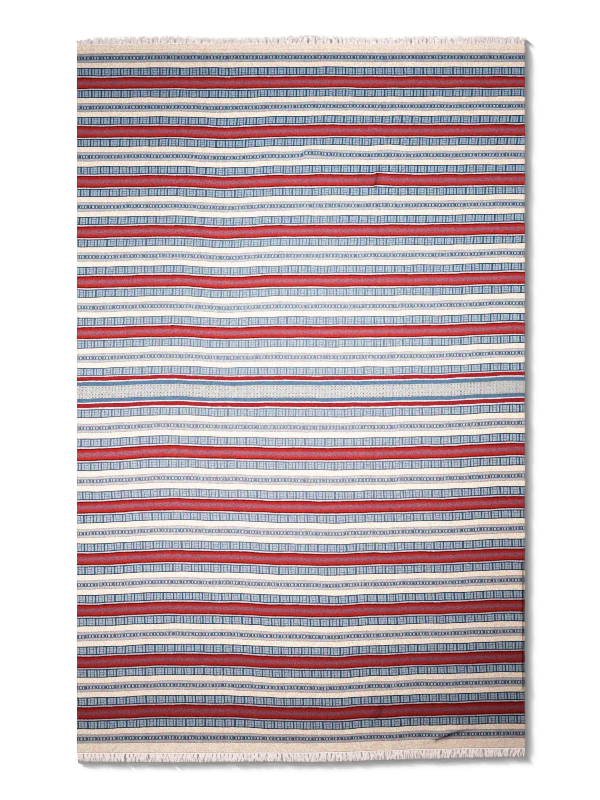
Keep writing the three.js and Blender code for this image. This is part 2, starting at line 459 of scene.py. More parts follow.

# %% [markdown]
# ## A groove, and painted shade in the folds
#
# Near the foot the cloth sinks beside its right cord and leaves a narrow groove. Shade is painted
# into the yarn along that groove, and along every sharp fold, darkening it there. It is kept as a
# number for each point of the mesh, which the yarn materials read, so that the painted shade stays
# on its fold from whichever side the rug is seen.

# %% Groove and painted shade
GROOVE = (755.3, 2, -985, -560, 3)  # place across, half width, from and to along, depth
GROOVE_FADE = 30  # how far past its ends the groove takes to close
# Painted shade, darkening the yarn along both creases and along the folds below.
CREASE_SHADE, CREASE_SHADE_HALF = 0.07, 5  # how much light it takes, and its half width
PAINTED_SHADE_LINES = [  # start, end, half width, how much light it takes
    ((755.3, -985), (755.3, -560), 3.2, 0.85),
    ((405, -1167), (456, -1159), 3.5, 0.25), ((456, -1159), (487, -1147), 4, 0.7),
    ((487, -1147), (507, -1139), 4, 0.9), ((507, -1139), (541, -1127), 5, 0.55),
    ((541, -1127), (596, -1121), 5, 0.3),
    ((249.5, 716), (251.5, 738), 4, 0.6), ((251.5, 738), (259, 760), 4, 0.6),
    ((259, 760), (263, 788), 4, 0.35), ((205, 735), (252, 750), 9, 0.2),
    ((235, -1085), (269, -1051), 5, 0.4), ((735, -997), (759, -983), 3.5, 0.5),
]


def sunk(y):
    """How far the groove beside the right cord is there, from 0 to 1."""
    _, _, start, end, _ = GROOVE
    apart = np.maximum(np.abs(y - (start + end) / 2) - (end - start) / 2, 0)
    return np.exp(-(apart / GROOVE_FADE) ** 2)


def painted_shade(across, along):
    """How much the painted shade darkens the yarn along the folds, from 0 to 1."""
    x, y = across / MM, along / MM
    taken = np.zeros(np.shape(x))
    for table in (LEFT_CREASE, RIGHT_CREASE):
        stops, place, *_ = zip(*table)
        away = x - read_row(stops, place, y)
        taken = np.maximum(taken, CREASE_SHADE * np.exp(-(away / CREASE_SHADE_HALF) ** 2))
    for start, end, half, amount in PAINTED_SHADE_LINES:
        run = np.subtract(end, start)
        reached = np.clip(((x - start[0]) * run[0] + (y - start[1]) * run[1]) / np.dot(run, run), 0, 1)
        away = np.hypot(x - start[0] - reached * run[0], y - start[1] - reached * run[1])
        taken = np.maximum(taken, amount * np.exp(-(away / half) ** 2))
    return taken


print("the groove is", GROOVE[3] - GROOVE[2], "mm long, and dust lies along", len(PAINTED_SHADE_LINES), "folds")

# %% [markdown]
# ## Helpers for a node tree
#
# A node material can be built by hand in the shader editor. Written in code, the same tree is
# easier to repeat for seven bands, so each move gets a short name here: add a node, do a sum,
# toss a coin for a place, or step through a list of colours.

# %% Node tree helpers
class Tree:
    """A material's node tree, with the few moves this lesson needs."""

    def __init__(self, name):
        self.material = bpy.data.materials.new(name)
        self.material.use_nodes = True
        self.nodes = self.material.node_tree.nodes
        self.links = self.material.node_tree.links
        self.nodes.clear()
        self.shader = self.add("ShaderNodeBsdfPrincipled")
        self.links.new(self.shader.outputs[0], self.add("ShaderNodeOutputMaterial").inputs[0])

    def add(self, kind, **settings):
        node = self.nodes.new(kind)
        for setting, value in settings.items():
            setattr(node, setting, value)
        return node

    def feed(self, socket, value):
        """Links a socket to another node's output, or sets it to a plain value."""
        if isinstance(value, bpy.types.NodeSocket):
            self.links.new(value, socket)
        else:
            socket.default_value = value

    def math(self, operation, *values, clamp=False):
        node = self.add("ShaderNodeMath", operation=operation, use_clamp=clamp)
        for socket, value in zip(node.inputs, values):
            self.feed(socket, value)
        return node.outputs[0]

    def vector(self, *parts):
        node = self.add("ShaderNodeCombineXYZ")
        for socket, value in zip(node.inputs, parts):
            self.feed(socket, value)
        return node.outputs[0]

    def parts(self, vector):
        node = self.add("ShaderNodeSeparateXYZ")
        self.feed(node.inputs[0], vector)
        return node.outputs[0], node.outputs[1], node.outputs[2]

    def vector_math(self, operation, *values):
        node = self.add("ShaderNodeVectorMath", operation=operation)
        for socket, value in zip(node.inputs, values):
            self.feed(socket, value)
        return node.outputs["Value" if operation == "DISTANCE" else "Vector"]

    def stretched(self, across, down, across_scale, down_scale):
        """A place drawn out across or down, for the long flecks and streaks of yarn."""
        across = self.math("MULTIPLY", across, across_scale)
        return self.vector(across, self.math("MULTIPLY", down, down_scale), 0.0)

    def noise(self, vector, scale=1.0, detail=1.0, output="Fac"):
        node = self.add("ShaderNodeTexNoise")
        node.inputs["Scale"].default_value = scale
        node.inputs["Detail"].default_value = detail
        self.feed(node.inputs["Vector"], vector)
        return node.outputs[output]

    def toss(self, *counts):
        """A random number from 0 to 1, the same all over each counted place."""
        node = self.add("ShaderNodeTexWhiteNoise", noise_dimensions="3D")
        self.feed(node.inputs["Vector"], self.vector(*counts))
        return node.outputs[0]

    def steps(self, position, colours, widths=None):
        """A colour ramp with hard steps, one for each colour."""
        widths = widths or [1] * len(colours)
        node = self.add("ShaderNodeValToRGB")
        node.color_ramp.interpolation = "CONSTANT"
        elements = node.color_ramp.elements
        start = 0.0
        for index, (colour, width) in enumerate(zip(colours, widths)):
            element = elements[0] if index == 0 else elements.new(start / sum(widths))
            element.color = colour
            start += width
        elements.remove(elements[-1])
        self.feed(node.inputs[0], position)
        return node.outputs[0]

    def mix(self, amount, under, over):
        node = self.add("ShaderNodeMix", data_type="RGBA")
        for socket, value in zip((node.inputs[0], node.inputs[6], node.inputs[7]), (amount, under, over)):
            self.feed(socket, value)
        return node.outputs[2]

    def relief(self, height, strength, distance):
        """Bumps the surface by a height from 0 to 1."""
        node = self.add("ShaderNodeBump")
        node.inputs["Strength"].default_value = strength
        node.inputs["Distance"].default_value = distance
        self.feed(node.inputs["Height"], height)
        self.feed(self.shader.inputs["Normal"], node.outputs[0])


print("tree helpers ready")

# %% [markdown]
# ## Counting ribs and picks
#
# One function will make the material of any band. It reads two lengths from the map: how far
# across the loom and how far down the band. Dividing them by the width of a rib and the height
# of a pick counts the yarns, and every other rib steps by half a pick, as it does in plain
# weave. A cell of the chart is twelve ribs, but no two cells on a real rug are quite alike, so
# the place in the cell wanders a little, and crowds and spreads along the band.

# %% Places on the loom
WANDER = 160.0  # how many times to a metre a yarn changes its mind
COLUMN_WANDER = 0.05  # how far a column then strays, in cells
ROW_WANDER = 2.0 * MM  # how far a row strays
CROWDING = 0.3  # how far the cells crowd together and spread, in cells
CROWDS_ACROSS, CROWDS_ALONG = 30.0, 5.0  # how many times to a metre


def count_yarns(tree, across, down):
    """How many ribs across and picks down a place is, and whether its rib is an odd one."""
    ribs = tree.math("DIVIDE", across, RIB)
    odd = tree.math("MODULO", tree.math("FLOOR", ribs), 2.0)
    picks = tree.math("ADD", tree.math("DIVIDE", down, PICK), tree.math("MULTIPLY", odd, 0.5))
    return ribs, picks, odd


def chart_place(tree, across, down, along, odd, height):
    """Where a place is in its cell, and in its band of that height, both from 0 to 1."""
    wander = tree.math("SUBTRACT", tree.noise(tree.vector(across, down, 0.0), WANDER), 0.5)
    cell = tree.math("DIVIDE", tree.math("SUBTRACT", across, FIRST_CELL), CELL)
    cell = tree.math("ADD", cell, tree.math("MULTIPLY", wander, COLUMN_WANDER))
    crowd = tree.noise(tree.stretched(across, along, CROWDS_ACROSS, CROWDS_ALONG))
    cell = tree.math("MULTIPLY_ADD", tree.math("SUBTRACT", crowd, 0.5), CROWDING, cell)
    row = tree.math("ADD", down, tree.math("MULTIPLY", tree.math("SUBTRACT", odd, 0.5), 0.5 * PICK))
    row = tree.math("ADD", row, tree.math("MULTIPLY", wander, ROW_WANDER))
    return tree.math("FRACT", cell), tree.math("DIVIDE", row, height, clamp=True)


print("a column wanders by up to", round(COLUMN_WANDER / 2 * CELL / MM, 1), "mm each way")

# %% [markdown]
# ## Weaving the chart
#
# A colour ramp with hard steps turns a place in the band into a row, and another turns a place
# in the cell into a letter of the chart. The heather rows need one more trick: their ramp is
# driven by a stretched noise in place of the rib count, so short lengths of each colour come up
# at random, as they do in a yarn spun from mixed fleece. An image would be simpler, but it
# would blur close up, and the ramps stay sharp at any distance.

# %% Colours of a band
FLECKS = {"~": 130.0, "*": 290.0}  # how many flecks of heather yarn to a metre across
FLECKS_DOWN = 420.0
FLECK_CONTRAST = 1.9  # how far the noise is spread, so that rare colours come up too


def woven_colour(tree, rows, across, down, column, row):
    """The plain rows first, then each chart over the rows that use it."""
    heights = [height for height, _ in rows]
    colour = tree.steps(row, [YARN[chart.strip("~*")[0]] for _, chart in rows], heights)
    for chart in sorted({chart for _, chart in rows if len(chart) > 1}):
        if chart[0] in FLECKS:
            mixed = tree.noise(tree.stretched(across, down, FLECKS[chart[0]], FLECKS_DOWN))
            spun = tree.math("MULTIPLY_ADD", tree.math("SUBTRACT", mixed, 0.5), FLECK_CONTRAST, 0.5)
            yarns = tree.steps(spun, [YARN[letter] for letter in chart[1:]])
        else:
            yarns = tree.steps(column, [YARN[letter] for letter in chart])
        uses = [(1, 1, 1, 1) if own == chart else (0, 0, 0, 1) for _, own in rows]
        colour = tree.mix(tree.steps(row, uses, heights), colour, yarns)
    return colour


print("heather rows:", sum(chart[0] in FLECKS for rows in BANDS.values() for _, chart in rows))

# %% [markdown]
# ## Painted glare, and colour along the rug
#
# The middle of the rug has painted glare: its indigo is mixed towards a paler indigo there, as
# though a bright light from above washed it out. The indigo is also bluer towards the head end,
# and the mauve is deeper towards the foot end. Both depend on where a place is on the rug, so one
# draft serves every repeat and no two of them match exactly.

# %% Painted glare and colour along the rug
# Painted glare: round this place the indigo is mixed towards a paler one.
GLARE_PLACE = (-0.1, 0.05, 0.0)
GLARE_REACH = 0.8
GLARE_MOST = 0.3
HEAD_TINT_PER_METRE = (-0.18, -0.1, 0.0)  # how red, green and blue light change towards the head
HEAD_TINT_FULL, HEAD_TINT_MOST = (1.0, 1.0, 1.0), (1.05, 0.98, 1.0)
DEEPER_PER_METRE, DEEPER_FROM = -0.35, -0.04  # how much deep red covers the mauve


def has_yarn(rows, letter):
    return any(letter in chart for _, chart in rows)


def colour_with_glare(tree, rows, colour, position, along):
    """The colour of a band with painted glare in its middle, and shifted along the rug."""
    if has_yarn(rows, "K"):
        # Painted glare, strongest in the middle.
        away = tree.math("DIVIDE", tree.vector_math("DISTANCE", position, GLARE_PLACE), GLARE_REACH)
        near = tree.math("SUBTRACT", 1.0, tree.math("POWER", away, 2.0), clamp=True)
        colour = tree.mix(tree.math("MULTIPLY", near, GLARE_MOST), colour, YARN["M"])
        # Bluer towards the head end.
        dye = tree.vector_math("MULTIPLY_ADD", tree.vector(along, along, 0.0), HEAD_TINT_PER_METRE, HEAD_TINT_FULL)
        colour = tree.vector_math("MULTIPLY", colour, tree.vector_math("MINIMUM", dye, HEAD_TINT_MOST))
    if has_yarn(rows, "V"):
        deeper = tree.math("MULTIPLY_ADD", along, DEEPER_PER_METRE, DEEPER_FROM, clamp=True)
        colour = tree.mix(deeper, colour, YARN["D"])
    return colour


print("indigo fades in", [name for name, rows in BANDS.items() if has_yarn(rows, "K")])

# %% [markdown]
# ## Uneven yarn and painted shade
#
# Hand-spun yarn is never one shade. Dye lots shift its colour slowly, long streaks and slubs
# come with the spinning, single picks and clumps of three are lighter or darker, and each rib
# is painted darker at its two sides, as shade. All of these multiply one another, and the
# painted shade along the folds takes its share last.

# %% Light and dark in the yarn
LOTS, LOT_TINT = 50.0, 0.42  # how many to a metre, and how far a lot may shift the colour
STREAKS_ACROSS, STREAKS_DOWN = 30.0, 600.0  # how many to a metre each way
SLUBS = 260.0  # how many to a metre
PICKS_IN_CLUMP = 3.0
CLUMP_SEED = 7.0  # gives the clumps other random numbers than the single picks
DARKEST = 0.55  # the yarn where every streak, pick and clump is at its darkest
STREAK_SHARE, PICK_SHARE, CLUMP_SHARE = 0.2, 0.3, 0.4  # what each of them adds at its lightest
SLUB_GAIN, SLUB_FLOOR = 1.2, 0.4  # the floor is the darkest slub, the gain is added at the lightest
RIB_GAIN, RIB_FLOOR = 0.22, 0.86  # the same from the side of a rib to its top


def yarn_and_shade_value(tree, across, down, ribs, picks, position, one_pick, rib_wave):
    """How light the yarn is at a place, painted shade included, as a number that its colour is multiplied
    by.
    """
    clump_row = tree.math("FLOOR", tree.math("DIVIDE", picks, PICKS_IN_CLUMP))
    clump = tree.toss(tree.math("FLOOR", ribs), clump_row, CLUMP_SEED)
    streak = tree.noise(tree.stretched(across, down, STREAKS_ACROSS, STREAKS_DOWN), 1.0, 2.0)
    value = tree.math("MULTIPLY_ADD", streak, STREAK_SHARE, DARKEST)
    value = tree.math("MULTIPLY_ADD", one_pick, PICK_SHARE, value)
    value = tree.math("MULTIPLY_ADD", clump, CLUMP_SHARE, value)
    slub = tree.math("MULTIPLY_ADD", tree.noise(position, SLUBS), SLUB_GAIN, SLUB_FLOOR)
    value = tree.math("MULTIPLY", value, slub)
    # Painted shade at the two sides of each rib.
    value = tree.math("MULTIPLY", value, tree.math("MULTIPLY_ADD", rib_wave, RIB_GAIN, RIB_FLOOR))
    # Painted shade along the folds, stored on the mesh.
    shaded = tree.add("ShaderNodeAttribute", attribute_name="painted_shade").outputs["Fac"]
    return tree.math("MULTIPLY", value, tree.math("SUBTRACT", 1.0, shaded))


def dyed_colour(tree, colour, position, value):
    """The colour after the dye lots have tinted it and the yarn and the painted shade have lightened or
    darkened it.
    """
    lot = tree.noise(position, LOTS, output="Color")
    tint = tree.vector_math("MULTIPLY_ADD", lot, (LOT_TINT,) * 3, (1 - LOT_TINT / 2,) * 3)
    dyed = tree.vector_math("MULTIPLY", colour, tint)
    return tree.vector_math("MULTIPLY", dyed, tree.vector(value, value, value))


print("a slub lightens the yarn by up to", round(SLUB_GAIN + SLUB_FLOOR - 1, 2))

# %% [markdown]
# ## One material for each band
#
# Now the parts come together. Cotton is rough and hardly shines. The bump is the weave itself,
# a round rib with the picks stepping over it. Real geometry for every pick would need millions
# of faces, and from a standing height nobody could tell.

# %% Band materials
ROUGHNESS, ROUGHNESS_SPREAD = 0.82, 0.12
COTTON_SHINE = 0.05
WEAVE_BUMP, WEAVE_DEPTH = 0.6, 0.8 * MM
PICK_BUMP = 0.3  # how much of a rib's roundness comes and goes from pick to pick


def band_material(name, rows):
    tree = Tree(name)
    across, down, _ = tree.parts(tree.add("ShaderNodeUVMap", uv_map="loom").outputs[0])
    position = tree.add("ShaderNodeTexCoord").outputs["Object"]
    _, along, _ = tree.parts(position)
    ribs, picks, odd = count_yarns(tree, across, down)
    one_pick = tree.toss(tree.math("FLOOR", ribs), tree.math("FLOOR", picks), 0.0)
    rib_wave = tree.math("SINE", tree.math("MULTIPLY", tree.math("FRACT", ribs), math.pi))

    height = sum(height for height, _ in rows) * MM
    column, row = chart_place(tree, across, down, along, odd, height)
    colour = woven_colour(tree, rows, across, down, column, row)
    colour = colour_with_glare(tree, rows, colour, position, along)
    value = yarn_and_shade_value(tree, across, down, ribs, picks, position, one_pick, rib_wave)
    tree.feed(tree.shader.inputs["Base Color"], dyed_colour(tree, colour, position, value))

    roughness = tree.math("MULTIPLY_ADD", one_pick, ROUGHNESS_SPREAD, ROUGHNESS)
    tree.feed(tree.shader.inputs["Roughness"], roughness)
    tree.shader.inputs["Specular IOR Level"].default_value = COTTON_SHINE
    over = tree.math("COSINE", tree.math("MULTIPLY", picks, 2 * math.pi))
    stepped = tree.math("MULTIPLY_ADD", over, PICK_BUMP, 1 - PICK_BUMP)
    tree.relief(tree.math("MULTIPLY", rib_wave, stepped), WEAVE_BUMP, WEAVE_DEPTH)
    return tree.material


band_names = sorted(BANDS)
band_materials = [band_material(f"yarn_{name}", BANDS[name]) for name in band_names]
middle_nodes = band_materials[band_names.index("middle")].node_tree.nodes
print(len(band_materials), "band materials, the middle one with", len(middle_nodes), "nodes")

# %% [markdown]
# ## The cloth
#
# The cloth is one closed sheet. Its rows of faces follow the drawn bands, closer together near
# the tucks at the two ends, and its columns are closer at the creases, at the tucks and beside
# the right selvedge. An even grid fine enough for the folds would have several times the faces.

# %% Rows and columns
COLUMNS = [  # from, to and step, in millimetres across
    (-758, -740, 4.5), (-740, -620, 10), (-620, -330, 18), (-330, -190, 8), (-190, -20, 17),
    (-20, 50, 5), (50, 210, 16), (210, 240, 6), (240, 276, 1.8), (276, 345, 5), (345, 430, 14),
    (430, 575, 3.2), (575, 730, 18), (730, 746, 6), (746, 758, 1.2),
]
HEAD_TUCKS = (0.36, 0.52)  # where the head tucks are, in metres down the draft
FOOT_TUCKS = 0.09  # how far the foot tucks reach from the foot end
FINE_ROW, SMALL_ROW, PLAIN_ROW = 2.2 * MM, 4 * MM, 8.4 * MM
LAST_WEFT = 1.5 * MM  # the first and last rows are as tall as one round weft
LEAST_ROW = 0.5 * MM

across_at = [COLUMNS[0][0] * MM]
for start, stop, step in COLUMNS:
    count = round((stop - start) / step)
    across_at += [(start + (stop - start) * (i + 1) / count) * MM for i in range(count)]
across_at = np.array(across_at)


def row_step(drawn):
    """How tall a row of faces may be: finer where the tucks are."""
    if drawn > WOVEN_LENGTH - FOOT_TUCKS:
        return FINE_ROW
    return SMALL_ROW if HEAD_TUCKS[0] < drawn < HEAD_TUCKS[1] else PLAIN_ROW


rows_at = [0.0, LAST_WEFT]
row_band = [0]
for index, (name, start, length) in enumerate(bands):
    count = math.ceil(length / row_step(start + length / 2))
    for i in range(count):
        stop = start + length * (i + 1) / count
        if stop > rows_at[-1] + LEAST_ROW:
            rows_at.append(stop)
            row_band.append(index)
rows_at.insert(-1, WOVEN_LENGTH - LAST_WEFT)
row_band.append(len(bands) - 1)
rows_at = np.array(rows_at)
print(len(rows_at), "rows by", len(across_at), "columns of points")

# %% [markdown]
# ## Laying points on the floor
#
# Every point starts on the straight loom and is then moved to where its weft really lies and
# lifted to where the cloth lies. Near a selvedge the edge wavers too, because each pass of the
# weft pulls a little harder or softer. The map called `loom` keeps the straight draft, so the
# pattern bends with the cloth.

# %% From loom to floor
EDGE_ZONE = 30 * MM  # how far in from a selvedge the pull of the weft is felt
MEAN_PULL, SLOW_PULL, QUICK_PULL = 0.9, 0.5, 0.4  # in millimetres
SLOW_TURN, QUICK_TURN = 0.17, 0.047  # one swing of each pull, in metres of weaving


def lay(across, drawn):
    """The floor places of points given across the rug and down the draft, as x, y and lift."""
    along = weft_line(across, drawn)
    side = np.sign(across)
    slow = SLOW_PULL * np.sin(2 * np.pi * drawn / SLOW_TURN)
    quick = QUICK_PULL * np.sin(2 * np.pi * drawn / QUICK_TURN + side)
    near_edge = ease(np.clip((np.abs(across) - HALF_WIDTH + EDGE_ZONE) / EDGE_ZONE, 0, 1))
    across = across - side * (MEAN_PULL + slow + quick) * near_edge * MM
    return across, along, lift(across, along)


def loom_map(across, drawn, band):
    """Where points sit on the loom: warp distance, and distance down their band as drafted."""
    name, start, length = bands[band]
    down = (drawn - start) * HEIGHT[name] * MM / length
    return warp_place(across, weft_line(across, drawn)), down


right_edge, _, _ = lay(np.full(SAMPLES, HALF_WIDTH), np.linspace(0, WOVEN_LENGTH, SAMPLES))
print(f"the right edge wavers between {right_edge.min() / MM:.1f} and {right_edge.max() / MM:.1f} mm")

# %% [markdown]
# ## Adding a mesh
#
# Each piece of the rug comes out of its function as plain lists of points and faces. One helper
# turns them into an object, gives every face its material and its place on the map, and lets
# the piece ride on the rug's one body.

# %% Mesh helpers
def add_mesh(name, points, faces, materials, slots=None, maps=None):
    """A smooth mesh object from points, faces, and a material and map place for each face."""
    mesh = bpy.data.meshes.new(name)
    mesh.from_pydata(np.asarray(points).tolist(), [], [list(map(int, face)) for face in faces])
    for material in materials:
        mesh.materials.append(material)
    if slots is not None:
        mesh.polygons.foreach_set("material_index", np.asarray(slots, np.int32))
    if maps is not None:
        mesh.uv_layers.new(name="loom").data.foreach_set("uv", np.asarray(maps, np.float32).ravel())
    mesh.shade_smooth()
    mesh.validate()
    piece = bpy.data.objects.new(name, mesh)
    bpy.context.scene.collection.objects.link(piece)
    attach(piece, "root")
    return piece


def add_painted_shade(piece, taken):
    """Stores how much the painted shade darkens the yarn at each point, where the yarn materials read it."""
    piece.data.attributes.new("painted_shade", "FLOAT", "POINT").data.foreach_set("value", taken.astype(np.float32))


def material_of(band):
    return band_names.index(bands[band][0])


print("the first band takes material", material_of(0), "of", len(band_materials))

# %% [markdown]
# ## The points of the sheet
#
# The top follows every fold. The underside lies on the floor or near it and nobody sees it, so
# it keeps only every sixth column. At both ends the two faces close in on each other, because
# the last weft is a round yarn and not the cut side of a slab.

# %% Points of the sheet
RIM = 1.1 * MM  # how far the top comes down to the last weft
RIM_BELOW = 0.6  # how far the underside comes up to it, as a share of that
COLUMNS_PER_STRIP = 6  # columns of the top to one of the underside

grid_x, grid_s = np.meshgrid(across_at, rows_at)
rows, columns = grid_x.shape
x, y, low = (part.reshape(rows, columns) for part in lay(grid_x.ravel(), grid_s.ravel()))
rim = np.zeros((rows, columns))
rim[[0, -1], :] = RIM
place, groove_half, _, _, depth = GROOVE
groove = depth * MM * np.exp(-((x / MM - place) / groove_half) ** 2) * sunk(y / MM)
top = np.stack([x, y, low + THICKNESS - rim - groove], axis=-1)
under = np.stack([x, y, low + RIM_BELOW * rim], axis=-1)

kept = np.unique([*range(0, columns, COLUMNS_PER_STRIP), columns - 1])
point_across = np.concatenate([grid_x.ravel(), grid_x[:, kept].ravel()])
point_drawn = np.concatenate([grid_s.ravel(), grid_s[:, kept].ravel()])
points = np.concatenate([top.reshape(-1, 3), under[:, kept].reshape(-1, 3)])
print(rows * columns, "points on top and", rows * len(kept), "below")

# %% [markdown]
# ## The faces of the sheet
#
# Quads cover the top and the underside, and one strip of quads closes each selvedge. Along the
# two ends six columns of the top meet one of the underside, so those faces have up to nine
# corners. The sheet is then closed all round, and has an inside and an outside.

# %% Faces of the sheet
above = np.arange(rows * columns).reshape(rows, columns)
below = rows * columns + np.arange(rows * len(kept)).reshape(rows, len(kept))


def quads(a, b, c, d):
    return np.stack([a, b, c, d], axis=-1).reshape(-1, 4).tolist()


def along_rows(faces_in_row):
    """The band of every face, when each row of points holds so many faces."""
    return np.repeat(row_band, faces_in_row).tolist()


faces = quads(above[:-1, :-1], above[1:, :-1], above[1:, 1:], above[:-1, 1:])
faces += quads(below[:-1, :-1], below[:-1, 1:], below[1:, 1:], below[1:, :-1])
faces += quads(above[:-1, 0], below[:-1, 0], below[1:, 0], above[1:, 0])
faces += quads(above[1:, -1], below[1:, -1], below[:-1, -1], above[:-1, -1])
face_band = along_rows(columns - 1) + along_rows(len(kept) - 1) + along_rows(1) + along_rows(1)
for index, (first, last) in enumerate(zip(kept, kept[1:])):
    faces.append([*above[0, first:last + 1], below[0, index + 1], below[0, index]])
    faces.append([*above[-1, first:last + 1][::-1], below[-1, index], below[-1, index + 1]])
    face_band += [0, len(bands) - 1]
print(len(faces), "faces close the sheet")

# %% [markdown]
# ## The map of the loom
#
# Each corner of each face is told where it sits on the loom. Where two bands meet, the same
# point needs two answers, the foot of one band and the head of the next, so the map belongs to
# the corners of the faces and not to the points.

# %% The finished cloth
corner_point = np.concatenate(faces)
corner_band = np.repeat(face_band, [len(face) for face in faces])
maps = np.zeros((len(corner_point), 2))
for band in range(len(bands)):
    chosen = corner_band == band
    own = corner_point[chosen]
    maps[chosen] = np.stack(loom_map(point_across[own], point_drawn[own], band), axis=-1)
slots = [material_of(band) for band in face_band]
cloth = add_mesh("kilim_cloth", points, faces, band_materials, slots, maps)
# The top points carry the painted shade along the folds; the underside has none.
add_painted_shade(cloth, np.concatenate([painted_shade(x, y).ravel(), np.zeros(rows * len(kept))]))
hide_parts("cloth")
print("cloth:", len(cloth.data.polygons), "faces")

# %% [markdown]
# ## The selvedges
#
# At each side the weft turns round a bundle of warps and comes back, which leaves a hard, ribbed
# cord. It is a tube of small rings, one for every few picks, each in the colour of its band, so
# the edge of the rug is a real wrapped cord and not the cut side of a slab.

# %% Wrapped cords
CORD_RADIUS = 2.6 * MM
WRAP = 3.4 * MM
WAIST = 0.86  # how slim the cord is between two wraps
BLUNT_END = 0.6  # how slim it is at its two ends
SIDES = 8
CORD_SHADE = 0.2  # how much painted shade darkens the right cord beside the groove


def selvedge(name, side):
    """side is -1 for the left selvedge and 1 for the right one."""
    drawn = np.arange(0, WOVEN_LENGTH, WRAP / 2)
    angles = np.arange(SIDES) * 2 * math.pi / SIDES
    x, y, low = lay(np.full(drawn.size, side * (HALF_WIDTH - CORD_RADIUS)), drawn)
    girth = np.where(np.arange(drawn.size) % 2, 1.0, WAIST) * CORD_RADIUS
    girth[[0, -1]] *= BLUNT_END
    points = np.stack([
        x[:, None] + girth[:, None] * np.cos(angles),
        np.repeat(y[:, None], SIDES, axis=1),
        low[:, None] + girth[:, None] * (1 + np.sin(angles)),
    ], axis=-1).reshape(-1, 3)

    starts = [start for _, start, _ in bands]
    faces, slots, maps = [], [], []
    for ring in range(drawn.size - 1):
        band = int(np.searchsorted(starts, (drawn[ring] + drawn[ring + 1]) / 2)) - 1
        name_of_band, start, length = bands[band]
        near, far = (drawn[ring:ring + 2] - start) * HEIGHT[name_of_band] * MM / length
        for turn in range(SIDES):
            a, b = ring * SIDES + turn, ring * SIDES + (turn + 1) % SIDES
            left, right = turn * RIB, (turn + 1) * RIB
            faces.append((a, b, b + SIDES, a + SIDES))
            slots.append(material_of(band))
            maps += [(left, near), (right, near), (right, far), (left, far)]
    last = len(points) - SIDES
    faces += [tuple(reversed(range(SIDES))), tuple(range(last, last + SIDES))]
    slots += [material_of(0), material_of(len(bands) - 1)]
    maps += [(0.0, 0.0)] * (2 * SIDES)
    cord = add_mesh(name, points, faces, band_materials, slots, maps)
    # Painted shade on the right cord where it lies beside the groove.
    if side > 0:
        add_painted_shade(cord, np.repeat(CORD_SHADE * sunk(y / MM), SIDES))
    return cord


selvedges = [selvedge("selvedge_left", -1), selvedge("selvedge_right", 1)]
print("each selvedge has", int(WOVEN_LENGTH / WRAP), "wraps")

# %% [markdown]
# ## Twisted yarn
#
# The warps that stick out of the last weft are two-ply yarn: two strands twisted round each
# other. Two tubes wound round each other would do, but one tube with two lobes that turn along
# it reads the same and has half the faces.

# %% One twisted yarn
PLY_SIDES = 6
YARN_TWIST = 9 * MM  # length of one full turn
LOBES = 0.2  # how far the two plies stand out


def tube(path, radii, twist=0.0, lobes=0.0, flat=1.0):
    """Points and faces of a tube along a path, twisted, two-lobed and flattened as asked."""
    path = np.asarray(path, float)
    ahead = np.gradient(path, axis=0)
    ahead /= np.linalg.norm(ahead, axis=1)[:, None]
    side = np.cross(ahead, (0.0, 0.0, 1.0))
    side /= np.maximum(np.linalg.norm(side, axis=1), 1e-9)[:, None]
    up = np.cross(side, ahead)
    angles = np.arange(PLY_SIDES) * 2 * math.pi / PLY_SIDES
    walked = np.concatenate([[0], np.cumsum(np.linalg.norm(np.diff(path, axis=0), axis=1))])
    turn = walked * (2 * math.pi / twist) if twist else np.zeros(len(path))
    radius = np.asarray(radii)[:, None] * (1 + lobes * np.cos(2 * (angles[None, :] - turn[:, None])))
    out = side[:, None] * np.cos(angles)[None, :, None] + flat * up[:, None] * np.sin(angles)[None, :, None]
    points = (path[:, None] + radius[:, :, None] * out).reshape(-1, 3)
    faces = []
    for ring in range(len(path) - 1):
        for a in range(PLY_SIDES):
            b = (a + 1) % PLY_SIDES
            start = ring * PLY_SIDES
            faces.append((start + a, start + PLY_SIDES + a, start + PLY_SIDES + b, start + b))
    end = (len(path) - 1) * PLY_SIDES
    faces += [tuple(range(PLY_SIDES)), tuple(reversed(range(end, end + PLY_SIDES)))]
    return points, faces


trial_points, trial_faces = tube([(0, 0, 0), (0, YARN_TWIST, 0)], [MM, MM], twist=YARN_TWIST, lobes=LOBES)
print("one turn of yarn has", len(trial_points), "points and", len(trial_faces), "faces")

# %% [markdown]
# ## The end cord and the knots
#
# A twined cord locks the last weft in, from one selvedge to the other. Outside it the warps are
# tied off, a few at a time, with an overhand knot. A knot is a tube along a trefoil curve: pulled
# tight, the whole curve reads like an overhand knot, and it needs no physics.

# %% Cord and knots
TWINE_RADIUS = 2.2 * MM
TWINE_STEP = 3 * MM
TWINE_HEIGHT = 2.6 * MM
TWINE_INSET = 2 * MM  # how far in from each selvedge it starts
KNOT_ROW = 5.5 * MM
KNOT_SIZE = 7.8 * MM
KNOT_HEIGHT = 2.4 * MM
KNOT_YARN = 1.45 * MM
KNOT_RISE, KNOT_FLAT = 0.9, 0.9  # how far its yarn rises and falls, and how flat it is pressed
KNOT_POINTS = 30


def twined_cord(edge, side, short):
    """The cord along one end of the cloth."""
    x = np.arange(-HALF_WIDTH + TWINE_INSET, HALF_WIDTH - TWINE_INSET, TWINE_STEP)
    y = edge - side * read_row(ENDS_ACROSS, short, x / MM) * MM + side * TWINE_RADIUS
    path = np.stack([x, y, np.full(x.size, TWINE_HEIGHT)], axis=-1)
    return tube(path, np.full(x.size, TWINE_RADIUS), twist=YARN_TWIST, lobes=LOBES)


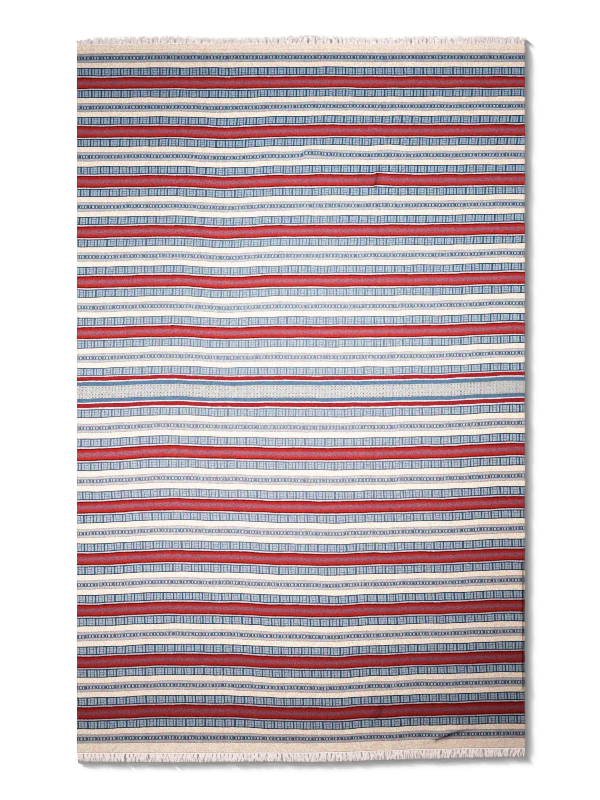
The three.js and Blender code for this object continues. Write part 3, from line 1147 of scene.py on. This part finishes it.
def knot(x, y, size):
    """A trefoil lies in a square three units to each side of its centre."""
    t = np.linspace(0, 2 * math.pi, KNOT_POINTS)
    bend = np.stack([
        np.sin(t) + 2 * np.sin(2 * t),
        np.cos(t) - 2 * np.cos(2 * t),
        -KNOT_RISE * np.sin(3 * t),
    ], axis=-1)
    path = np.asarray((x, y, KNOT_HEIGHT)) + bend * size / 6
    return tube(path, np.full(KNOT_POINTS, KNOT_YARN), flat=KNOT_FLAT)


print("a knot has", len(knot(0.0, 0.0, KNOT_SIZE)[1]), "faces")

# %% [markdown]
# ## The tassels
#
# Beyond its knot each tassel is a handful of loose yarns, lying on the floor. They leave the knot
# side by side, splay out, sway and curl, and lie over one another in three layers. They could be
# grown as hair, but hair is not a mesh, so each yarn is a path of its own for the tube above.

# %% Yarns of one tassel
TASSELS = 118  # at each end, as in the solids
YARNS_PER_TASSEL = 9
YARN_RADIUS, YARN_FLAT = 1.2 * MM, 0.85
YARN_POINTS = 10
CLUMP_LEAN, CLUMP_TURN = 3.5, 0.37  # millimetres, and how far the wave turns from tassel to tassel
AT_KNOT, AT_TIP = 0.8, 1.25  # how wide the yarns lie apart, as shares of the tassel's width
TIDY_TIP, STRAY_TIP = 1.5, 5  # how far the dice may move the tip of a yarn, in millimetres
LAYERS = 3
FIRST_LAYER, NEXT_LAYER, LAYER_SLACK = 1.2, 1.3, 0.5  # how high the yarns lie, in millimetres
LEAVES_KNOT = 2.2 * MM  # how high they come out of the knot
INSIDE_KNOT = 0.2  # where along the row of knots they come out of it
YARN_LENGTHS, YARN_GIRTHS = (0.94, 1.04), (0.9, 1.12)  # what the dice may make of them
THINNING = 0.3  # how much thinner the tip of a yarn is
EARLY, NEAR_TIP = 1.3, 4  # powers that say how late along a yarn a change sets in


def strays_on_top(yarn):
    """Every third yarn wanders further from its tassel, lies in the top layer and takes the bright knot
    cotton as painted light.
    """
    return yarn % 3 == 1


def yarn_path(dice, yarn, tassel, side):
    """One loose yarn from its knot to its tip, and how thick it is on the way."""
    x, knot_y, long, lean, sway, turns, curl, width = tassel
    stray = STRAY_TIP if strays_on_top(yarn) else TIDY_TIP
    spread = (yarn - (YARNS_PER_TASSEL - 1) / 2) * width
    length = (long - KNOT_ROW) * dice.uniform(*YARN_LENGTHS)
    tip = lean + AT_TIP * spread + dice.uniform(-stray, stray) * MM
    layer = (FIRST_LAYER + NEXT_LAYER * (2 * yarn % LAYERS) + dice.uniform(0, LAYER_SLACK)) * MM
    t = np.linspace(0, 1, YARN_POINTS)
    leaning = (tip - AT_KNOT * spread) * t ** EARLY
    swaying = sway * np.sin(math.pi * t * turns)
    path = np.stack([
        x + AT_KNOT * spread + leaning + swaying + curl * t ** NEAR_TIP,
        knot_y + side * (INSIDE_KNOT * KNOT_ROW + length * t),
        LEAVES_KNOT * (1 - t) ** 2 + layer * (1 - (1 - t) ** 2),
    ], axis=-1)
    return path, YARN_RADIUS * dice.uniform(*YARN_GIRTHS) * (1 - THINNING * t ** NEAR_TIP)


print(TASSELS, "tassels of", YARNS_PER_TASSEL, "yarns at each end")

# %% [markdown]
# Neighbouring tassels lean the same way in clumps, because feet and brooms comb them: a slow wave
# along the end gives the clumps, and dice give the rest. The dice are seeded, so the same rug
# comes out every time. All knots and yarns of one end become one mesh, since nobody ever moves
# them apart, and that is far quicker than joining a thousand objects.

# %% The fringe of one end
KNOTTED, LOWER_SHADED = 0, 1  # which of the fringe's two materials a yarn has
# What the dice may change, in millimetres, or as a share of the usual size.
SHIFTS, LEANS, SWAYS, CURLS = (-1.8, 1.8), (-2.2, 2.2), (-3, 3), (-3, 3)
SWAY_TURNS, YARN_GAPS, KNOT_SIZES = (1.2, 2.2), (1.2, 1.6), (0.9, 1.1)


def fringe(name, side, short, reach, seed):
    """side is 1 for the head end and -1 for the foot end."""
    dice = random.Random(seed)
    points, faces, slots = [], [], []

    def keep(part, slot):
        new_points, new_faces = part
        start = sum(len(chunk) for chunk in points)
        faces.extend(tuple(start + corner for corner in face) for face in new_faces)
        slots.extend([slot] * len(new_faces))
        points.append(new_points)

    pitch = 2 * HALF_WIDTH / TASSELS
    edge = HEAD_LINE if side > 0 else FOOT_LINE
    keep(twined_cord(edge, side, short), KNOTTED)
    for index in range(TASSELS):
        x = -HALF_WIDTH + (index + 0.5) * pitch + dice.uniform(*SHIFTS) * MM
        root = edge - side * float(read_row(ENDS_ACROSS, short, x / MM)) * MM
        long = float(read_row(ENDS_ACROSS, reach, x / MM)) * MM
        lean = (CLUMP_LEAN * math.sin(CLUMP_TURN * index) + dice.uniform(*LEANS)) * MM
        sway, turns = dice.uniform(*SWAYS) * MM, dice.uniform(*SWAY_TURNS)
        curl = dice.uniform(*CURLS) * MM
        width = dice.uniform(*YARN_GAPS) * MM
        knot_y = root + side * (TWINE_RADIUS + KNOT_ROW / 2)
        keep(knot(x, knot_y, KNOT_SIZE * dice.uniform(*KNOT_SIZES)), KNOTTED)
        tassel = (x, knot_y, long, lean, sway, turns, curl, width)
        for yarn in range(YARNS_PER_TASSEL):
            path, radii = yarn_path(dice, yarn, tassel, side)
            twisted = tube(path, radii, twist=YARN_TWIST, lobes=LOBES, flat=YARN_FLAT)
            # Top yarns get the bright knot cotton and the lower yarns the darker tassel cotton: painted
            # light and painted shade between the layers.
            keep(twisted, KNOTTED if strays_on_top(yarn) else LOWER_SHADED)
    piece = add_mesh(name, np.concatenate(points), faces, [knot_material, tassel_material], slots)
    return piece


print("one end has room for a tassel every", round(2 * HALF_WIDTH / TASSELS / MM, 1), "mm")

# %% [markdown]
# ## Undyed warp cotton
#
# The fringe is bare warp: soft white cotton with a rosy cast where red dye has bled into it. The
# lower yarns of each tassel take a copy darkened in patches, as painted shade between the yarns.
# Its fibres run round the ply, so a fine noise gives both the colour and the bump.

# %% Warp material
FIBRES, BLEED_AND_SHADE_SPOTS = 900.0, 95.0  # how many to a metre
BLEED_AND_SHADE_CONTRAST, BLEED_AND_SHADE_FROM = 2.2, -0.6
FIBRE_GAIN, FIBRE_FLOOR = 0.3, 0.85
WARP_ROUGHNESS, WARP_ROUGHNESS_SPREAD = 0.8, 0.15
WARP_SHINE = 0.2
FIBRE_BUMP, FIBRE_DEPTH = 0.4, 0.3 * MM


def warp_cotton(name, light, dark):
    tree = Tree(name)
    place = tree.add("ShaderNodeTexCoord").outputs["Object"]
    fibre = tree.noise(place, FIBRES, 2.0)
    # Rosy patches where red has bled into the knots; on the tassels the same patches are dark, as painted
    # shade.
    bleed_and_shade = tree.noise(place, BLEED_AND_SHADE_SPOTS, 2.0)
    stain_and_shade = tree.math("MULTIPLY_ADD", bleed_and_shade, BLEED_AND_SHADE_CONTRAST, BLEED_AND_SHADE_FROM, clamp=True)
    shade = tree.add("ShaderNodeHueSaturation")
    tree.feed(shade.inputs["Value"], tree.math("MULTIPLY_ADD", fibre, FIBRE_GAIN, FIBRE_FLOOR))
    tree.feed(shade.inputs["Color"], tree.mix(stain_and_shade, (*light, 1), (*dark, 1)))
    tree.feed(tree.shader.inputs["Base Color"], shade.outputs[0])
    roughness = tree.math("MULTIPLY_ADD", fibre, WARP_ROUGHNESS_SPREAD, WARP_ROUGHNESS)
    tree.feed(tree.shader.inputs["Roughness"], roughness)
    tree.shader.inputs["Specular IOR Level"].default_value = WARP_SHINE
    tree.relief(fibre, FIBRE_BUMP, FIBRE_DEPTH)
    return tree.material


knot_material = warp_cotton("warp_knots", light=(0.98, 0.8, 0.76), dark=(0.94, 0.75, 0.71))
# The dark patches of the tassel cotton are painted shade for the yarns that lie under others.
tassel_material = warp_cotton("warp_tassels", light=(0.92, 0.81, 0.79), dark=(0.24, 0.18, 0.17))
fringe_head = fringe("tassels_head", side=1, short=HEAD_SHORT, reach=HEAD_REACH, seed=7)
fringe_foot = fringe("tassels_foot", side=-1, short=FOOT_SHORT, reach=FOOT_REACH, seed=11)
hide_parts("fringe_head")
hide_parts("fringe_foot")
print("each fringe:", len(fringe_head.data.polygons), "faces")

# %% [markdown]
# ## The floor
#
# The rug lies on a plain pale floor. It is large, so that its edges stay far away, and its
# colour varies a little, as paint does.

# %% Floor
FLOOR_SIZE = 40
PAINT, PALER_PAINT = (0.90, 0.90, 0.90, 1), (0.92, 0.92, 0.92, 1)
PAINT_PATCHES = 3.0  # how many to a metre
PAINT_ROUGHNESS = 0.9


def plain_floor():
    tree = Tree("pale_floor")
    place = tree.add("ShaderNodeTexCoord").outputs["Object"]
    patches = tree.noise(place, PAINT_PATCHES, 2.0)
    tree.feed(tree.shader.inputs["Base Color"], tree.mix(patches, PAINT, PALER_PAINT))
    tree.shader.inputs["Roughness"].default_value = PAINT_ROUGHNESS
    return tree.material


bpy.ops.mesh.primitive_plane_add(size=FLOOR_SIZE)
floor = bpy.context.object
floor.name = "floor"
floor.data.materials.append(plain_floor())

# %% [markdown]
# ## A lamp and what it lights
#
# Light linking tells a lamp what it lights, through a collection. Cloth four millimetres thick
# throws a shadow wide enough to see only when the light comes in almost flat, and such a light
# would rake the weave far too hard, so here the floor and the rug have lamps of their own. That
# is a studio trick: real lamps would light both.

# %% Lamps and what they light
def only(name, objects):
    """A collection outside the scene, for telling a lamp what it lights."""
    group = bpy.data.collections.new(name)
    for one in objects:
        group.objects.link(one)
    return group


def lamp(name, kind, energy, place, aim, lights, **settings):
    data = bpy.data.lights.new(name, kind)
    data.energy = energy
    for setting, value in settings.items():
        setattr(data, setting, value)
    lamp_object = bpy.data.objects.new(name, data)
    lamp_object.location = place
    track = (np.array(aim, float) - np.array(place, float)).tolist()
    lamp_object.rotation_euler = mathutils.Vector(track).to_track_quat("-Z", "Y").to_euler()
    lamp_object.light_linking.receiver_collection = lights
    lamp_object.visible_camera = False
    bpy.context.scene.collection.objects.link(lamp_object)


rug_only = only("lit_rug", [cloth, *selvedges, fringe_head, fringe_foot])
floor_only = only("lit_floor", [floor])

# %% [markdown]
# ## Lighting the rug
#
# A wide, weak lamp high up at the left gives the cloth its relief, like a tall window. Three
# soft pools from above make the middle of the rug and its upper right brighter than the other
# corners, as lamps on stands would.

# %% Rug lamps
MIDDLE = (0, 0, 0)
WINDOW_PLACE, WINDOW_STRENGTH, WINDOW_WIDTH = (-3, 3, 2.2), 1.72, 10
WARM_WHITE = (1.0, 0.94, 0.91)
POOL_HEIGHT = 3.0
SOFT_EDGE, BULB = 1.0, 0.2  # how soft a pool's edge is, and the radius of its lamp in metres
POOLS = [  # watts, place across and along, full angle of the cone in degrees
    (665, -0.26, -0.01, 58),
    (215, -0.18, -0.07, 36),
    (275, 0.49, 0.68, 39.5),
]

lamp("window", "SUN", WINDOW_STRENGTH, WINDOW_PLACE, MIDDLE, rug_only,
     angle=math.radians(WINDOW_WIDTH), color=WARM_WHITE)
for index, (watts, across, along, cone) in enumerate(POOLS):
    lamp(f"pool_{index}", "SPOT", watts, (across, along, POOL_HEIGHT), (across, along, 0), rug_only,
         spot_size=math.radians(cone), spot_blend=SOFT_EDGE, shadow_soft_size=BULB)
print("one window and", len(POOLS), "pools")

# %% [markdown]
# ## Lighting the floor
#
# Three low lamps far to the upper left throw the rug's shadow to the lower right. The narrow one
# makes its dark core and the two wider, higher ones its soft outer edge, as a bright sky round a
# low sun would.

# %% Floor lamps
LOW_LIGHTS = [  # name, strength, height of the lamp, its width in degrees
    ("low_sun", 87, 0.94, 2.6), ("low_haze", 25, 1.15, 7.3), ("low_sky", 4.4, 1.95, 19.5),
]
LOW_ACROSS, LOW_ALONG = -7, 7

for name, strength, height, width in LOW_LIGHTS:
    place = (LOW_ACROSS, LOW_ALONG, height)
    lamp(name, "SUN", strength, place, MIDDLE, floor_only, angle=math.radians(width))
print(len(LOW_LIGHTS), "low lamps throw the shadow")

# %% [markdown]
# ## Lighting the fringe and the room
#
# White yarn on a pale floor is hard to see, so each fringe has a weak, very wide lamp of its
# own. The foot end, which the third pool doesn't reach, has the stronger one. A pale room lights
# whatever is left.

# %% Fringe lamps and room
FILLS = [(fringe_head, 0.8), (fringe_foot, 1.4)]  # which fringe, and how strong its lamp is
FILL_PLACE, FILL_WIDTH = (-1, 1, 4), 60
ROOM_LIGHT = 0.24

for end, strength in FILLS:
    lit = only(f"lit_{end.name}", [end])
    lamp(f"fill_{end.name}", "SUN", strength, FILL_PLACE, MIDDLE, lit, angle=math.radians(FILL_WIDTH))

world = bpy.data.worlds.new("studio")
world.use_nodes = True
room = world.node_tree.nodes["Background"]
room.inputs[0].default_value = (1, 1, 1, 1)
room.inputs[1].default_value = ROOM_LIGHT
bpy.context.scene.world = world
print(len(FILLS), "fills and a pale room")

# %% [markdown]
# ## Exposure
#
# Film answers bright light with a soft shoulder, so cream yarn in the brightest place still
# keeps a little colour instead of burning out to flat white. The curve below bends the top of the
# scale the same way and leaves the darker half alone.

# %% Shoulder
SHOULDER = [  # light that comes in, light that is shown
    (0.0, 0.0), (0.6, 0.6), (0.8, 0.706), (1.0, 0.79), (1.3, 0.885),
    (1.7, 0.93), (2.2, 0.955), (2.8, 0.975), (3.5, 1.0),
]
TOP = SHOULDER[-1][0]
COMBINED = 3  # the curve that bends red, green and blue together

view = bpy.context.scene.view_settings
view.view_transform = "Standard"
view.look = "None"
view.use_curve_mapping = True
view.curve_mapping.white_level = (TOP, TOP, TOP)
curve = view.curve_mapping.curves[COMBINED]
for seen, shown in SHOULDER[1:-1]:
    curve.points.new(seen / TOP, shown)
curve.points[0].location = (SHOULDER[0][0] / TOP, SHOULDER[0][1])
curve.points[-1].location = (SHOULDER[-1][0] / TOP, SHOULDER[-1][1])
view.curve_mapping.update()
print("highlights bend from", SHOULDER[1][0], "up")
